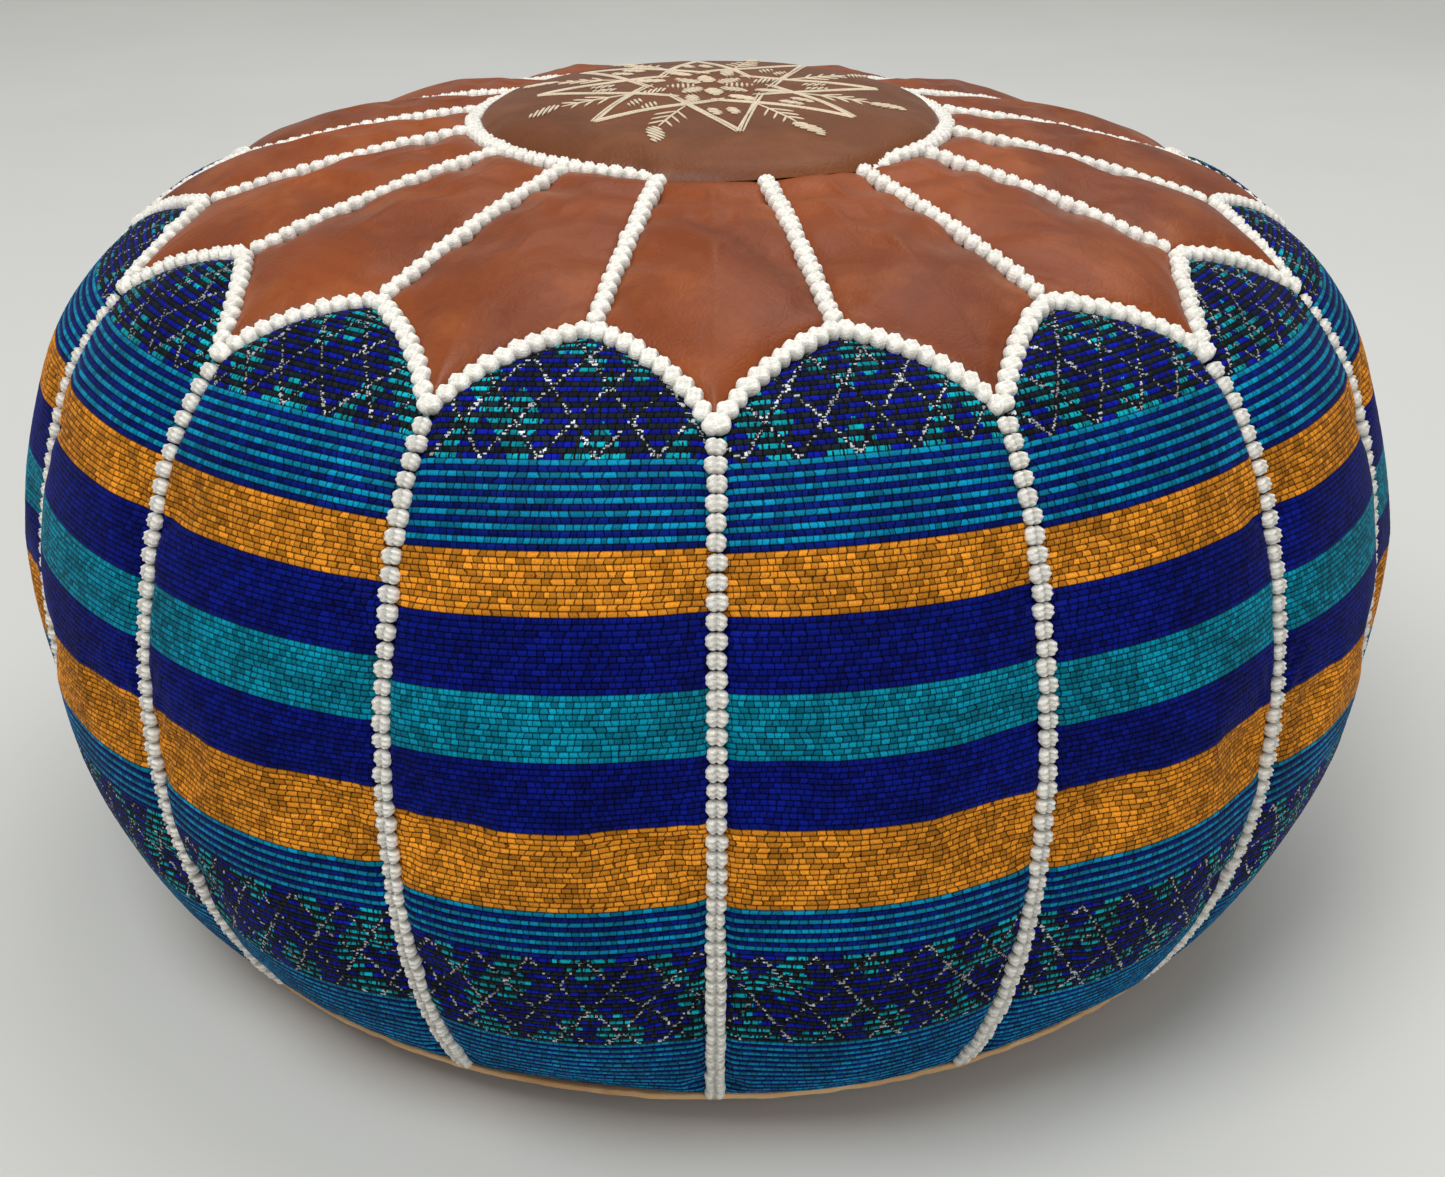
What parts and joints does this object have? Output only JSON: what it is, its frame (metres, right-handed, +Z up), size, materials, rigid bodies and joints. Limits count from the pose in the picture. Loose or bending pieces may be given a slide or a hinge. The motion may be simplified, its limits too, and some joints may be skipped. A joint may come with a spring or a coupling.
{
  "type": "moroccan pouf",
  "caption": "Round stuffed floor pouf: embroidered leather top of petals around a medallion, striped brocade sides, corded seams and a zip in the leather base.",
  "frame": {"origin": "centre of the base, on the floor", "axes": "+Z up along the pouf's axis; the front, with a side seam in its middle, faces -Y; the zip runs along X"},
  "size_m": [0.545, 0.545, 0.3165],
  "materials": {
    "petal_leather": "caramel brown, waxed, mottled",
    "medallion_leather": "dark brown, satin",
    "brocade": "ribbed chenille brocade in blue, teal, gold, black and silver",
    "seam_cord": "off-white waxed cotton braid",
    "silk_thread": "ivory silk, satin stitch",
    "raw_edge": "raw tan edge",
    "base_leather": "plain brown, matt",
    "zip_tape": "woven brown tape",
    "zip_metal": "antique brass",
    "sack_cotton": "unbleached cotton",
    "stuffing": "packed fabric clippings"
  },
  "bodies": {
    "cover": {"petal_01": "petal_leather", "petal_02": "petal_leather", "petal_03": "petal_leather", "petal_04": "petal_leather", "petal_05": "petal_leather", "petal_06": "petal_leather", "petal_07": "petal_leather", "petal_08": "petal_leather", "petal_09": "petal_leather", "petal_10": "petal_leather", "petal_11": "petal_leather", "petal_12": "petal_leather", "petal_13": "petal_leather", "petal_14": "petal_leather", "petal_15": "petal_leather", "petal_16": "petal_leather", "side_panel_01": "brocade", "side_panel_02": "brocade", "side_panel_03": "brocade", "side_panel_04": "brocade", "side_panel_05": "brocade", "side_panel_06": "brocade", "side_panel_07": "brocade", "side_panel_08": "brocade", "side_panel_09": "brocade", "side_panel_10": "brocade", "side_panel_11": "brocade", "side_panel_12": "brocade", "side_panel_13": "brocade", "side_panel_14": "brocade", "side_panel_15": "brocade", "side_panel_16": "brocade", "medallion": "medallion_leather", "medallion_embroidery": "silk_thread", "medallion_seam_cord": "seam_cord", "petal_seam_cords": "seam_cord", "arch_seam_cord": "seam_cord", "side_seam_cords": "seam_cord", "base_welt": "raw_edge", "base_panel_back": "base_leather", "base_panel_front": "base_leather", "zip_tape_back": "zip_tape", "zip_tape_front": "zip_tape", "zip_teeth_back": "zip_metal", "zip_teeth_front": "zip_metal", "zip_stops": "zip_metal", "inner_sack": "sack_cotton", "stuffing": "stuffing"},
    "slider": {"zip_slider": "zip_metal"},
    "pull": {"zip_pull": "zip_metal"}
  },
  "joints": [
    {"name": "zip_slide", "type": "slide", "parent": "cover", "child": "slider", "axis": [-1, 0, 0], "range_m": [0, 0.306]},
    {"name": "pull_hinge", "type": "hinge", "parent": "slider", "child": "pull", "pos_m": [0.154, 0, 0.0043], "axis": [0, -1, 0], "range_deg": [0, 180]}
  ]
}
